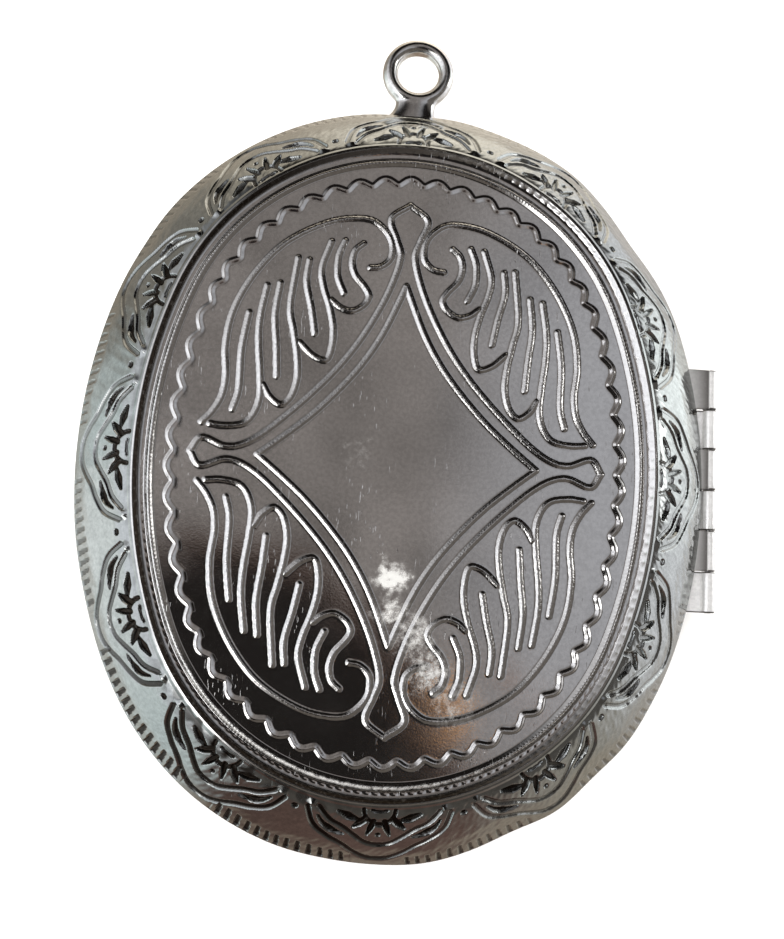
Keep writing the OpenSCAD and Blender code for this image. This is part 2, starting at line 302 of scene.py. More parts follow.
def field_base(d, x, y):
    """The stamped sheet under the field's relief: a slight dome that isn't quite even."""
    dome = FIELD_DOME * smoothstep((d - 6) / 12)
    return FIELD_RISE + dome + 0.006 * smoothstep((d - 6.6) / 2) * waves(x, y, 3, 9.0)


def field_height(x, y):
    d = inset(x, y)[0]
    return field_base(d, x, y) + field_chart.read(field_chart.height, np.abs(x), np.abs(y))


def rim_rise(d):
    t = np.clip(d, 0, RIM_WIDTH) / RIM_WIDTH
    return EDGE_HEIGHT + (HALF_DEPTH - EDGE_HEIGHT) * (1 - (1 - t) ** RIM_FULLNESS)


def rim_slope(d):
    """Unit tangent of the rim's section, as inwards and up."""
    e = 0.02
    rise = (rim_rise(d + e) - rim_rise(np.maximum(d - e, 0))) / (d + e - np.maximum(d - e, 0))
    length = np.hypot(1, rise)
    return 1 / length, rise / length


# How far the edge draws in between the shells, at shares of the way round from the hinge
DRAWN_IN = [
    (0, 0), (0.083, 0.02), (0.104, 0.25), (0.125, 0.6), (0.146, 0.32), (0.167, 0), (0.188, 0.04),
    (0.208, 0.15), (0.229, 0.06), (0.25, 0.28), (0.271, 0.06), (0.3, 0), (0.375, 0), (0.396, 0.12),
    (0.417, 0), (0.54, 0), (0.562, 0.1), (0.604, 0.18), (0.646, 0.06), (0.667, 0), (0.708, 0),
    (0.729, 0.12), (0.75, 0.1), (0.771, 0), (0.792, 0.2), (0.812, 0.46), (0.833, 0.02), (0.854, 0.33),
    (0.875, 0.04), (0.896, 0.1), (0.917, 0), (1, 0),
]
DRAW_REACH = 2.6              # it dies out this far in
DRAW_SOFT = 60                # its corners are rounded over this many of the table's 2400 steps
edge_share = np.arange(2401) / 2400
edge_draw = np.interp(edge_share, *zip(*DRAWN_IN))
soft_draw = bell(np.arange(-DRAW_SOFT, DRAW_SOFT + 1), 0, 22)
edge_draw = np.convolve(
    np.concatenate([edge_draw[-DRAW_SOFT - 1:-1], edge_draw, edge_draw[1:DRAW_SOFT + 1]]),
    soft_draw / soft_draw.sum(), mode="valid")


def drawn_in(s, d):
    """How far a point of the case moves inwards with its edge."""
    at_edge = np.interp(np.asarray(s) / ROUND_LEN % 1, edge_share, edge_draw)
    return at_edge * (1 - smoothstep(d / DRAW_REACH))


def round_bell(s, middle, width):
    """A bell over shares of the way round: 0 is at the hinge, 0.25 at the neck ring, 0.5 at the left and
    0.75 at the bottom."""
    return bell((s / ROUND_LEN - middle + 0.5) % 1 - 0.5, 0, width)


def along_shell(s):
    """Length along the rim from the middle of the nearest shell, as the shell is charted."""
    return np.abs((s / PITCH + 0.5) % 1 - 0.5) * CHART_PITCH


RIM_END = 4.12                # the rim piece ends here, on the flat border line
RING_END = 5.83
WAVE_END = 7.0
TEETH = 212
TOOTH_DEPTH = 0.12
BORDER_RISE = 0.06


def teeth(s, d):
    """Milled teeth along the edge between the shells, 0 to 1, boldest at the lower left and bottom."""
    u, low_left = along_shell(s), round_bell(s, 0.63, 0.09)
    bold = 0.3 + 0.7 * round_bell(s, 0.68, 0.13) - 0.2 * round_bell(s, 0.12, 0.12)
    reach = 0.72 + 0.12 * waves(s, 0 * s, 12, 3.0) + 0.12 * smoothstep(u - 3) + 0.22 * low_left
    phase = 2 * math.pi * TEETH * s / ROUND_LEN + 1.5 * d + 0.9 * waves(s, 0.6 * d, 11, 2.4)
    wedge = np.cos(phase) + 0.4 * low_left
    tooth = smoothstep((wedge + 0.15 - 0.4 * d) / 0.8)
    ends = smoothstep((d - 0.02) / 0.1) * smoothstep((reach - d) / 0.18)
    return bold * tooth * ends * smoothstep((u - 1.3 + 0.5 * low_left) / 0.5)


def rim_tarnish_and_shade(s, d):
    """Tarnish in the marks and teeth, with painted shade that makes the marks darkest at the left and lower
    left, a strip of painted shade along the inner edge on the left, and a ragged dark patch near the inner
    edge at the lower left.
    """
    side = 0.5 + 0.5 * np.cos(2 * math.pi * (s / ROUND_LEN - 0.57))
    strength = 0.3 + 0.7 * smoothstep(side * 1.25) + 1.5 * round_bell(s, 0.68, 0.1)
    marks = shell_chart.read(shell_chart.tarnish, along_shell(s), d) * strength
    strip = smoothstep((d - 3.66) / 0.12) * (1 + waves(s, 2 * d, 14, 1.1))
    marks = marks + 0.16 * strip * smoothstep(side)
    pool = round_bell(s, 0.67, 0.055) * smoothstep((d - 3.1) / 0.5)
    marks = np.maximum(marks, pool * smoothstep(0.5 + 1.5 * waves(s, 1.6 * d, 15, 1.5)))
    return np.clip(np.maximum(marks, 1.2 * teeth(s, d)), 0, 1)


def rim_surface(s, d):
    """Points of the rim's outside with its ornament, over length round the case and distance in."""
    fade = smoothstep(d / 0.15) * smoothstep((RIM_END - 0.05 - d) / 0.2)
    relief = shell_chart.read(shell_chart.height, along_shell(s), d) * fade - TOOTH_DEPTH * teeth(s, d)
    rough = 1 - round_bell(s, 0.53, 0.14)
    uneven = 0.012 * waves(s, 1.5 * d, 7, 2.2) + 0.006 * waves(s, 1.3 * d, 8, 0.9)
    uneven = uneven + 0.006 * rough * waves(s, 1.2 * d, 9, 0.5)
    relief = relief + uneven * smoothstep(d / 0.6) * smoothstep((RIM_END - 0.2 - d) / 0.5)
    t_in, t_up = rim_slope(d)
    x, y = on_case(s, d - t_up * relief + drawn_in(s, d))
    border = BORDER_RISE * smoothstep((d - 3.9) / 0.12)
    return np.stack([x, y, rim_rise(d) + t_in * relief + border], -1)


# The section of the rings inside the rim, as distance in and rise: the border's edge, a knurled cove
# down into a groove, the milled ridge and the edge of the field.
BEAD_D, GROOVE_D, RIDGE_D = 4.38, 4.74, 5.08
RINGS = [(4.0, rim_rise(4.0) + BORDER_RISE), (4.25, HALF_DEPTH), (4.4, HALF_DEPTH - 0.14),
         (4.52, HALF_DEPTH - 0.22), (4.68, HALF_DEPTH - 0.26), (4.9, HALF_DEPTH - 0.26),
         (5.12, HALF_DEPTH - 0.05), (5.22, HALF_DEPTH - 0.04), (5.45, FIELD_RISE), (6.4, FIELD_RISE)]
RING_D = np.arange(4.0, 6.4, 0.01)
soft_edge = bell(np.arange(-9, 10) * 0.01, 0, 0.035)
RING_RISE = np.interp(RING_D, *zip(*RINGS))
RING_RISE[9:-9] = np.convolve(RING_RISE, soft_edge / soft_edge.sum(), mode="valid")


def ring_surface(s, d):
    """Points of the rings, with beads in the cove and nicks across the ridge."""
    turn = BEADS * s / ROUND_LEN
    low, right = round_bell(s, 0.75, 0.17), round_bell(s, 0.08, 0.2)
    bead = np.abs(np.sin(math.pi * turn)) ** 0.8 - 0.5
    nick = np.sin(2 * math.pi * (2.3 * turn + 1.5 * d)) + 0.8 * waves(s, 4 * d, 5, 0.8)
    z = np.interp(d, RING_D, RING_RISE)
    z = z + (0.012 + 0.022 * right + 0.012 * low) * bead * bell(d, BEAD_D, 0.1)
    z = z + 0.025 * low * bead * bell(d, GROOVE_D, 0.08)
    z = z + (0.004 + 0.007 * low + 0.008 * right) * nick * bell(d, RIDGE_D, 0.15)
    z = z + 0.005 * waves(s, 4 * d, 6, 0.7) * bell(d, 4.4, 0.15)
    x, y = on_case(s, d)
    return np.stack([x, y, z], -1)


def ring_painted_shade(s, d):
    """Painted shade in the step on the left, where it turns from the light, and in a thin line at each
    foot.
    """
    side = smoothstep(0.8 - 0.8 * np.cos(2 * math.pi * (s / ROUND_LEN - 0.06)))
    step = smoothstep((d - 4.2) / 0.06) * smoothstep((4.72 - d) / 0.3)
    return np.clip(side * step + 0.2 * bell(d, 5.47, 0.05), 0, 1)


def ring_dull(s, d):
    """The ridge is rubbed dull at the bottom and the upper right, and the beads at the top."""
    dull = 0.75 * round_bell(s, 0.7, 0.13) * bell(d, RIDGE_D + 0.02, 0.12)
    dull = dull + 0.6 * round_bell(s, 0.12, 0.07) * bell(d, RIDGE_D + 0.24, 0.14)
    return dull + 0.45 * round_bell(s, 0.24, 0.12) * bell(d, BEAD_D - 0.05, 0.1)


WAVE_D = 6.38
WAVE_DEPTH = 0.2
WAVE_HALF = (0.16, 0.25)      # widths of its outer and inner slopes
WAVE_RISE = 0.1
WAVE_CUSP = 0.25              # how rounded the cusps are
WAVE_STEPS = 24               # mesh steps in each scallop


def wave_line(s):
    """Distance in of the wavy line: arcs that bulge outwards and meet in rounded cusps."""
    swing = np.sin(math.pi * SCALLOPS * s / ROUND_LEN)
    bulge = (np.sqrt(swing ** 2 + WAVE_CUSP ** 2) - WAVE_CUSP) / (math.sqrt(1 + WAVE_CUSP ** 2) - WAVE_CUSP)
    return WAVE_D + WAVE_DEPTH * (1 - 2 * bulge)


def wave_distance(s, d):
    """Distance from points to the wavy line, whose nearest stretch is tried step by step."""
    ds = ROUND_LEN / (SCALLOPS * WAVE_STEPS)
    x, y = on_case(s, d)
    near = np.full(x.shape, 99.0)
    for k in np.arange(-WAVE_STEPS / 2, WAVE_STEPS / 2 + 1, 0.5):
        wx, wy = on_case(s + k * ds, wave_line(s + k * ds))
        np.minimum(near, np.hypot(x - wx, y - wy), out=near)
    return near


def wave_surface(s, d):
    """Points of the field's outer band with the wavy line, which is boldest at the lower right."""
    x, y = on_case(s, d)
    half = np.where(d < wave_line(s), *WAVE_HALF)
    rise = WAVE_RISE * (0.5 + 0.5 * round_bell(s, 0.88, 0.2))
    return np.stack([x, y, field_base(d, x, y) + rise * ridge(wave_distance(s, d), half)], -1)


def wave_painted_shade(s, d):
    """Painted shade: thin dark feet, and a dark drop inside each cusp at the lower left, where the slope
    mirrors the dark.
    """
    half = np.where(d < wave_line(s), *WAVE_HALF)
    low_left = round_bell(s, 0.58, 0.14)
    cusp = np.cos(math.pi * SCALLOPS * s / ROUND_LEN - 0.25) ** 2
    drop = low_left * smoothstep((cusp - 0.55) / 0.35) * bell(d, WAVE_D + WAVE_DEPTH + 0.22, 0.12)
    return np.clip(0.2 * bell(wave_distance(s, d), half + 0.03, 0.05) + drop, 0, 1)


INNER_STEPS = 7
NUDGE = 0.01                  # slopes are read off a surface over this distance to each side


def inner_wall(flat, d_from, d_to):
    """Rows of distance and rise along the inside of a half's wall, from the middle outwards."""
    d = RIM_WIDTH * np.arange(INNER_STEPS, 0, -1) / INNER_STEPS
    t_in, t_up = rim_slope(d)
    rows = np.stack([d + WALL * t_up, np.minimum(flat, rim_rise(d)) - WALL * t_in], -1)
    rows = np.vstack([[20, flat - WALL], rows, [WALL, EDGE_HEIGHT], [WALL, 0]])
    keep = rows[(rows[:, 0] > d_from) & (rows[:, 0] < d_to)]
    ends = [(t, np.interp(t, rows[::-1, 0], rows[::-1, 1])) for t in (d_to, d_from)]
    return np.array([ends[0]] + keep.tolist() + ([ends[1]] if d_from > WALL else [[WALL, 0]]))


def new_object(name, data):
    obj = bpy.data.objects.new(name, data)
    bpy.context.scene.collection.objects.link(obj)
    return obj


def make_mesh(name, verts, faces, normals=None):
    """A mesh from points in millimetres. normals holds one row for each corner of each face."""
    mesh = bpy.data.meshes.new(name)
    mesh.from_pydata((np.asarray(verts) * MM).tolist(), [], faces)
    mesh.shade_smooth()
    if normals is not None:
        mesh.normals_split_custom_set(normals.tolist())
    return new_object(name, mesh)


def set_layer(obj, name, values):
    """Keeps one number for each point of a mesh, which its material reads."""
    layer = obj.data.attributes.new(name, "FLOAT", "POINT")
    layer.data.foreach_set("value", np.asarray(values, np.float32))


def unit(v):
    return v / np.maximum(np.linalg.norm(v, axis=-1, keepdims=True), 1e-12)


def soft_normals(face_n, closed):
    """Corner normals for a grid of faces, evened out across the edges that bend little."""
    before, after = np.roll(face_n, 1, axis=1), np.roll(face_n, -1, axis=1)
    if not closed:
        before[:, 0], after[:, -1] = face_n[:, 0], face_n[:, -1]
    corners = []
    for beside, shift in ((before, 1), (after, 1), (after, -1), (before, -1)):
        here = unit(face_n + beside)
        near = np.roll(here, shift, axis=0)
        bends_little = (here * near).sum(-1, keepdims=True) > math.cos(math.radians(35))
        corners.append(unit(here + np.where(bends_little, near, 0)))
    return np.stack(corners, -2)


def ring_piece(name, surface, s, d_rows, flat, closed, turned=False, tarnish=None, dull=None):
    """A solid stretch of a half's wall: its outside from surface(), its inside plain.
    s are the lengths round the case, and d_rows the distances in from the edge. A turned piece
    belongs to the back, which is the other way up."""
    grid_s, grid_d = np.meshgrid(s, d_rows)
    top = surface(grid_s, grid_d)
    along = surface(grid_s + NUDGE, grid_d) - surface(grid_s - NUDGE, grid_d)
    across = surface(grid_s, grid_d + NUDGE) - surface(grid_s, np.maximum(grid_d - NUDGE, 0))
    n_top = unit(np.cross(along, across))
    inner = inner_wall(flat, d_rows[0], d_rows[-1])
    ix, iy = on_case(s[None], inner[:, :1] + drawn_in(s[None], inner[:, :1]))
    bottom = np.stack([ix, iy, np.broadcast_to(inner[:, 1:], ix.shape)], -1)
    if d_rows[0] == 0:
        foot = top[:1].copy()
        foot[..., 2] = 0
        bottom = np.concatenate([bottom, foot])
    points = np.concatenate([top, bottom])
    rows, cols = points.shape[:2]
    r = np.arange(rows)[:, None]
    c = np.arange(cols if closed else cols - 1)[None]
    r2, c2 = (r + 1) % rows, (c + 1) % cols
    quads = np.stack(np.broadcast_arrays(r * cols + c, r * cols + c2, r2 * cols + c2, r2 * cols + c), -1)
    if turned:
        points = points * np.array([1, 1, -1]) + np.array([0, 0, PARTING])
        n_top = n_top * np.array([1, 1, -1])
        quads = quads[..., ::-1]
    else:
        points = points + np.array([0, 0, PARTING + EDGE_GAP])
    flat_points = points.reshape(-1, 3)
    corner = flat_points[quads]
    face_n = np.cross(corner[..., 2, :] - corner[..., 0, :], corner[..., 3, :] - corner[..., 1, :])
    normals = soft_normals(unit(face_n), closed)
    if turned:
        normals = normals[..., ::-1, :].copy()
    t = len(d_rows) - 1
    cc, cc2 = c[0], c2[0]
    top_n = np.stack([n_top[:-1][:, cc], n_top[:-1][:, cc2], n_top[1:][:, cc2], n_top[1:][:, cc]], -2)
    normals[:t] = top_n[..., ::-1, :] if turned else top_n
    faces = quads.reshape(-1, 4).tolist()
    normals = normals.reshape(-1, 3)
    if not closed:
        end = np.arange(rows) * cols
        for loop, a, b in ((end, 1, 0), (end[::-1] + cols - 1, -2, -1)):
            faces.append(loop.tolist())
            outwards = unit(points[0, b] - points[0, a])
            normals = np.vstack([normals, np.repeat(outwards[None], rows, 0)])
    obj = make_mesh(name, flat_points, faces, normals)
    for layer, values in (("tarnish", tarnish), ("dull", dull)):
        if values:
            table = np.zeros((rows, cols))
            table[:len(d_rows)] = values(grid_s, grid_d)
            set_layer(obj, layer, table.ravel())
    return obj


def field_piece(name, side, cell=0.066):
    """Half of the field, right or left of its middle: a plate with the relief on it."""
    nx = int(math.ceil((HALF_W - WAVE_END) / cell)) + 1
    ny = int(math.ceil((HALF_L - WAVE_END) / cell)) + 1
    x, y = np.meshgrid(cell * np.arange(nx), cell * np.arange(-ny, ny + 1), indexing="ij")
    d, in_x, in_y = inset(x, y)
    over = d - WAVE_END
    keep = over > -0.5 * cell
    snap = keep & (over < 0.5 * cell)
    x = np.where(snap, x - over * in_x, x)
    y = np.where(snap, y - over * in_y, y)
    x = np.where(np.arange(nx)[:, None] == 0, 0, x) * side
    index = np.full(x.shape, -1)
    index[keep] = np.arange(keep.sum())
    slope_x = (field_height(x + NUDGE, y) - field_height(x - NUDGE, y)) / (2 * NUDGE)
    slope_y = (field_height(x, y + NUDGE) - field_height(x, y - NUDGE)) / (2 * NUDGE)
    verts = np.stack([x, y, field_height(x, y) + PARTING + EDGE_GAP], -1)[keep]
    vert_n = unit(np.stack([-slope_x, -slope_y, np.ones(x.shape)], -1))[keep]
    cells = np.stack([index[:-1, :-1], index[1:, :-1], index[1:, 1:], index[:-1, 1:]], -1).reshape(-1, 4)
    if side < 0:
        cells = cells[:, ::-1]
    full = cells[(cells >= 0).all(1)]
    part = cells[(cells >= 0).sum(1) == 3]
    faces = full.tolist() + [[k for k in row if k >= 0] for row in part.tolist()]
    mesh = bpy.data.meshes.new(name)
    mesh.from_pydata((verts * MM).tolist(), [], faces)
    bm = bmesh.new()
    bm.from_mesh(mesh)
    rim = [edge for edge in bm.edges if edge.is_boundary]
    made = bmesh.ops.extrude_edge_only(bm, edges=rim)
    low = (PARTING + EDGE_GAP + FIELD_RISE - WALL) * MM
    for v in made["geom"]:
        if isinstance(v, bmesh.types.BMVert):
            v.co.z = low
    bmesh.ops.contextual_create(bm, geom=[g for g in made["geom"] if isinstance(g, bmesh.types.BMEdge)])
    bm.to_mesh(mesh)
    bm.free()
    mesh.shade_smooth()
    corners = np.zeros(len(mesh.loops), int)
    mesh.loops.foreach_get("vertex_index", corners)
    face_of = np.repeat(np.arange(len(mesh.polygons)), [p.loop_total for p in mesh.polygons])
    face_n = np.zeros(len(mesh.polygons) * 3)
    mesh.polygons.foreach_get("normal", face_n)
    normals = face_n.reshape(-1, 3)[face_of]
    top = face_of < len(faces)
    normals[top] = vert_n[corners[top]]
    mesh.normals_split_custom_set(normals.tolist())
    obj = new_object(name, mesh)
    place = np.zeros(len(mesh.vertices) * 3)
    mesh.vertices.foreach_get("co", place)
    u, v = np.abs(place[0::3]) / MM, np.abs(place[1::3]) / MM
    set_layer(obj, "tarnish", field_chart.read(field_chart.tarnish, u, v))
    set_layer(obj, "worn", field_chart.read(field_chart.worn, u, v))
    return obj


def build_front():
    pieces = []
    steps = 1920
    rows = np.concatenate([[0, 0.02, 0.06], np.linspace(0.11, RIM_END, 68)])
    for name, first in (("rim_upper", -0.5), ("rim_lower", 5.5)):
        s = (first + 6 * np.arange(steps // 2 + 1) / (steps // 2)) * PITCH
        pieces.append(ring_piece(name, rim_surface, s, rows, FIELD_RISE, closed=False, tarnish=rim_tarnish_and_shade))
    s = ROUND_LEN * np.arange(BEADS * 7) / (BEADS * 7)
    rows = np.linspace(RIM_END, RING_END, 44)
    pieces.append(ring_piece("ring_border", ring_surface, s, rows, FIELD_RISE, True, tarnish=ring_painted_shade,
                             dull=ring_dull))
    s = ROUND_LEN * np.arange(SCALLOPS * WAVE_STEPS) / (SCALLOPS * WAVE_STEPS)
    rows = np.linspace(RING_END, WAVE_END, 24)
    pieces.append(ring_piece("wave_border", wave_surface, s, rows, FIELD_RISE, True, tarnish=wave_painted_shade))
    pieces.append(field_piece("field_right", 1))
    pieces.append(field_piece("field_left", -1))
    return pieces + [knuckle_piece("front_knuckle_%d" % (k // 2 + 1), k, 0.25, 1) for k in (1, 3, 5)]


def plain_surface(s, d):
    """The back's outside: the same slope without ornament, and a flat."""
    x, y = on_case(s, d + drawn_in(s, d))
    return np.stack([x, y, np.where(d < RIM_WIDTH, rim_rise(d), HALF_DEPTH)], -1)


BACK_PLATE_D = 6.4
LIP = (0.75, 1.05)            # distances in of the closing lip's two sides
LIP_ROOT = -1.1
LIP_HEIGHT = 0.5


def plate_piece(name, d, low, high):
    """A flat plate with the case's outline moved in by d."""
    s = ROUND_LEN * np.arange(360) / 360
    x, y = on_case(s, d)
    n = len(s)
    verts = [(x[i], y[i], z) for z in (low, high) for i in range(n)]
    faces = [list(range(n))[::-1], list(range(n, 2 * n))]
    faces += [[i, (i + 1) % n, n + (i + 1) % n, n + i] for i in range(n)]
    obj = make_mesh(name, verts, faces)
    obj.data.set_sharp_from_angle(angle=math.radians(40))
    return obj


def lip_piece(name):
    """The lip that the front closes over, a thin upright band inside the wall of the back."""
    s = ROUND_LEN * np.arange(480) / 480
    n, bevel = len(s), 0.06
    section = [(LIP[0], LIP_ROOT), (LIP[0], LIP_HEIGHT - bevel), (LIP[0] + bevel, LIP_HEIGHT),
               (LIP[1] - bevel, LIP_HEIGHT), (LIP[1], LIP_HEIGHT - bevel), (LIP[1], LIP_ROOT)]
    verts = []
    for d, z in section:
        x, y = on_case(s, d + drawn_in(s, d))
        verts += [(x[i], y[i], PARTING + z) for i in range(n)]
    rows = len(section)
    faces = [[r * n + i, r * n + (i + 1) % n, (r + 1) % rows * n + (i + 1) % n, (r + 1) % rows * n + i]
             for r in range(rows) for i in range(n)]
    obj = make_mesh(name, verts, faces)
    obj.data.set_sharp_from_angle(angle=math.radians(30))
    return obj


KNUCKLES = 6
KNUCKLE_R = 0.45
HINGE_LENGTH = 16
JOINT_GAP = 0.06
LEAF_RISE = 0.1
LEAF_THICKNESS = 0.3


def knuckle_piece(name, index, bore, up):
    """One barrel of the hinge and the leaf that ties it to its half's wall."""
    length = HINGE_LENGTH / KNUCKLES
    y0 = index * length - HINGE_LENGTH / 2 + JOINT_GAP / 2
    y1 = y0 + length - JOINT_GAP
    turn_from = math.pi - math.asin((LEAF_RISE + LEAF_THICKNESS) / KNUCKLE_R)
    turn_to = -math.pi - math.asin(LEAF_RISE / KNUCKLE_R)
    arc = np.linspace(turn_from, turn_to, 44)
    soft = 0.12
    stations = [(y0, 1 - soft), (y0 + 0.04, 1 - 0.4 * soft), (y0 + 0.1, 1)]
    stations += [(y, 1) for y in np.linspace(y0 + 0.4, y1 - 0.4, 5)]
    stations += [(y1 - 0.1, 1), (y1 - 0.04, 1 - 0.4 * soft), (y1, 1 - soft)]
    outer, inner = [], []
    for y, k in stations:
        wall_x = math.sqrt((SIDE_R - WALL / 2) ** 2 - y * y) - SIDE_X
        loop = [(wall_x, y, LEAF_RISE + LEAF_THICKNESS)]
        loop += [(hinge.x + KNUCKLE_R * k * math.cos(t), y, KNUCKLE_R * k * math.sin(t)) for t in arc]
        loop += [(wall_x, y, LEAF_RISE)]
        outer.append(loop)
        inner.append([(hinge.x + bore * math.cos(t), y, bore * math.sin(t))
                      for t in [arc[0], *arc, arc[-1]]])
    m = len(outer[0])
    for loop in inner:            # the leaf's two ends share the stretch of bore behind the leaf
        for end, t in ((0, arc[0] + 0.25), (m - 1, arc[-1] - 0.25)):
            loop[end] = (hinge.x + bore * math.cos(t), loop[end][1], bore * math.sin(t))
    verts = [(x, y, PARTING + up * z) for rows in (outer, inner) for loop in rows for x, y, z in loop]
    n = len(stations)
    faces = []
    for i in range(m):
        j = (i + 1) % m
        for r in range(n - 1):
            around = [r * m + i, r * m + j, (r + 1) * m + j, (r + 1) * m + i]
            faces += [around, [n * m + v for v in around]]
        for r in (0, n - 1):
            faces.append([r * m + i, r * m + j, (n + r) * m + j, (n + r) * m + i])
    obj = make_mesh(name, verts, faces)
    bm = bmesh.new()
    bm.from_mesh(obj.data)
    bmesh.ops.recalc_face_normals(bm, faces=bm.faces)
    bm.to_mesh(obj.data)
    bm.free()
    obj.data.set_sharp_from_angle(angle=math.radians(38))
    # Painted shade at the ends of each barrel, between the knuckles, and in the crease where the leaf's top
    # meets the barrel.
    dark = np.zeros((2 * n, m))
    dark[[0, 1, n - 2, n - 1]] = 1
    dark[:, 1], dark[:, 0], dark[:, 2] = 0.9, 0.35, 0.4
    set_layer(obj, "tarnish", dark.ravel())
    return obj


# The neck ring, with the middle of its hole
NECK_RING = Vector((0.35, HALF_L + 3.3, PARTING - 0.6385))
RING_MID_R = 1.925
RING_HALF_WIDTH = 0.525
RING_HALF_DEPTH = 0.5985
FOOT_WIDTH = 4.0


def circle(n):
    return np.linspace(0, 2 * math.pi, n + 1)[:-1]


def solid_parts(bm, rows, closed_rows):
    """Adds a grid of points as a closed tube: rows of loops, capped at both ends or joined round."""
    made = [[bm.verts.new(p) for p in row] for row in rows]
    n = len(made[0])
    pairs = list(zip(made, made[1:])) + ([(made[-1], made[0])] if closed_rows else [])
    for a, b in pairs:
        for i in range(n):
            j = (i + 1) % n
            bm.faces.new([a[i], a[j], b[j], b[i]])
    if not closed_rows:
        bm.faces.new(made[0][::-1])
        bm.faces.new(made[-1])


def neck_ring_piece(name):
    """Ring, neck and curved foot as one cast piece, blended together."""
    bm = bmesh.new()
    rows = []
    for t in circle(96):
        rows.append([(NECK_RING.x + (RING_MID_R + RING_HALF_WIDTH * math.cos(a)) * math.cos(t),
                      NECK_RING.y + (RING_MID_R + RING_HALF_WIDTH * math.cos(a)) * math.sin(t),
                      NECK_RING.z + RING_HALF_DEPTH * math.sin(a)) for a in circle(24)])
    solid_parts(bm, rows, True)
    rows = []
    neck_end = NECK_RING.y - RING_MID_R
    for y in np.linspace(HALF_L - 0.75, neck_end + 0.1, 12):
        t = min(1, max(0, (y - HALF_L) / (neck_end - HALF_L)))
        half = 1.12 + 0.6 * (1 - t) ** 2 + 0.35 * t ** 2
        x, depth = NECK_RING.x * t, RING_HALF_DEPTH * 0.9
        rows.append([(x + half * math.copysign(abs(math.cos(a)) ** 0.8, math.cos(a)), y,
                      NECK_RING.z + depth * math.copysign(abs(math.sin(a)) ** 0.85, math.sin(a)))
                     for a in circle(32)])
    solid_parts(bm, rows, False)
    rows = []
    span = FOOT_WIDTH / END_R / 2
    for t in np.linspace(-span, span, 21):
        slim = 1 - 0.25 * abs(t / span) ** 3
        mid, half = END_R - 0.2, 0.42 * slim
        rows.append([((mid + half * math.cos(a)) * math.sin(t),
                      END_Y + (mid + half * math.cos(a)) * math.cos(t),
                      NECK_RING.z + RING_HALF_DEPTH * 0.9 * slim * math.sin(a)) for a in circle(24)])
    solid_parts(bm, rows, False)
    bmesh.ops.recalc_face_normals(bm, faces=bm.faces)
    mesh = bpy.data.meshes.new(name)
    bm.to_mesh(mesh)
    bm.free()
    obj = new_object(name, mesh)
    remesh = obj.modifiers.new("blend", "REMESH")
    remesh.mode = "VOXEL"
    remesh.voxel_size = 0.076
    smooth = obj.modifiers.new("smooth", "SMOOTH")
    smooth.iterations = 22
    blended = bpy.data.meshes.new_from_object(obj.evaluated_get(bpy.context.evaluated_depsgraph_get()))
    obj.modifiers.clear()
    obj.data = blended
    blended.name = name
    blended.transform(Matrix.Scale(MM, 4))
    blended.shade_smooth()
    return obj


def build_back():
    s = ROUND_LEN * np.arange(720) / 720
    rows = np.concatenate([[0], np.linspace(0.03, RIM_WIDTH, 26), [RIM_WIDTH + 0.02, BACK_PLATE_D]])
    pieces = [ring_piece("back_wall", plain_surface, s, rows, HALF_DEPTH, True, turned=True),
              plate_piece("back_plate", BACK_PLATE_D, 0, WALL),
              lip_piece("closing_lip"),
              neck_ring_piece("neck_ring")]
    return pieces + [knuckle_piece("back_knuckle_%d" % (k // 2 + 1), k, 0.23, -1) for k in (0, 2, 4)]


# Materials
class Tree:
    """Shorthand for building a node tree: each call adds a node and returns its output."""

    def __init__(self, tree):
        self.nodes, self.link = tree.nodes, tree.links.new

    def add(self, kind, output=0, settings=(), **inputs):
        made = self.nodes.new(kind)
        for key, value in dict(settings).items():
            setattr(made, key, value)
        for key, value in inputs.items():
            key = key.replace("_", " ")
            socket = made.inputs[int(key[2:])] if key.startswith("at") else \
                [i for i in made.inputs if i.name == key and i.enabled][0]
            if isinstance(value, bpy.types.NodeSocket):
                self.link(value, socket)
            else:
                socket.default_value = value
        if isinstance(output, str):
            return made.outputs[output]
        return [o for o in made.outputs if o.enabled][output]

    def math(self, operation, *values):
        return self.add("ShaderNodeMath", settings={"operation": operation},
                        **{"at%d" % k: v for k, v in enumerate(values)})

    def vector(self, operation, *values, output=0):
        return self.add("ShaderNodeVectorMath", output, {"operation": operation},
                        **{"at%d" % k: v for k, v in enumerate(values)})

    def mix(self, factor, a, b):
        return self.add("ShaderNodeMix", settings={"data_type": "RGBA"}, Factor=factor, A=a, B=b)

    def fade(self, value, start, end, low=0.0, high=1.0):
        """Turns smoothly from low to high as value goes from start to end."""
        return self.add("ShaderNodeMapRange", settings={"interpolation_type": "SMOOTHSTEP"}, Value=value,
                        From_Min=start, From_Max=end, To_Min=low, To_Max=high)

    def noise(self, vector, scale, detail=3.0, roughness=0.6, output="Fac"):
        return self.add("ShaderNodeTexNoise", output, Vector=vector, Scale=scale, Detail=detail,
                        Roughness=roughness)


def tone(red, green, blue):
    """A colour as it shows on screen, from 0 to 255, turned into light, with an opaque fourth value."""
    return tuple(((v / 255 + 0.055) / 1.055) ** 2.4 for v in (red, green, blue)) + (1.0,)


# Pale hazy places on the field where the plating has gone dull: middle and radius in millimetres, and
# strength
HAZE = [((-0.1, -7.0), 1.7, 0.95), ((0.1, -9.1), 1.6, 0.66), ((1.5, -10.3), 2.4, 0.6),
        ((2.5, -12.4), 2.4, 0.55), ((3.8, -14.2), 2.6, 0.36), ((-2.4, 0.6), 1.6, 0.2)]
HAZE_WOBBLE = 2.2
HAZE_COLOUR = (0.5, 0.5, 0.485, 1.0)
# the colour of tarnish, and of the painted shade that shares its layer
TARNISH_AND_SHADE_COLOUR = (0.03, 0.023, 0.018, 1.0)


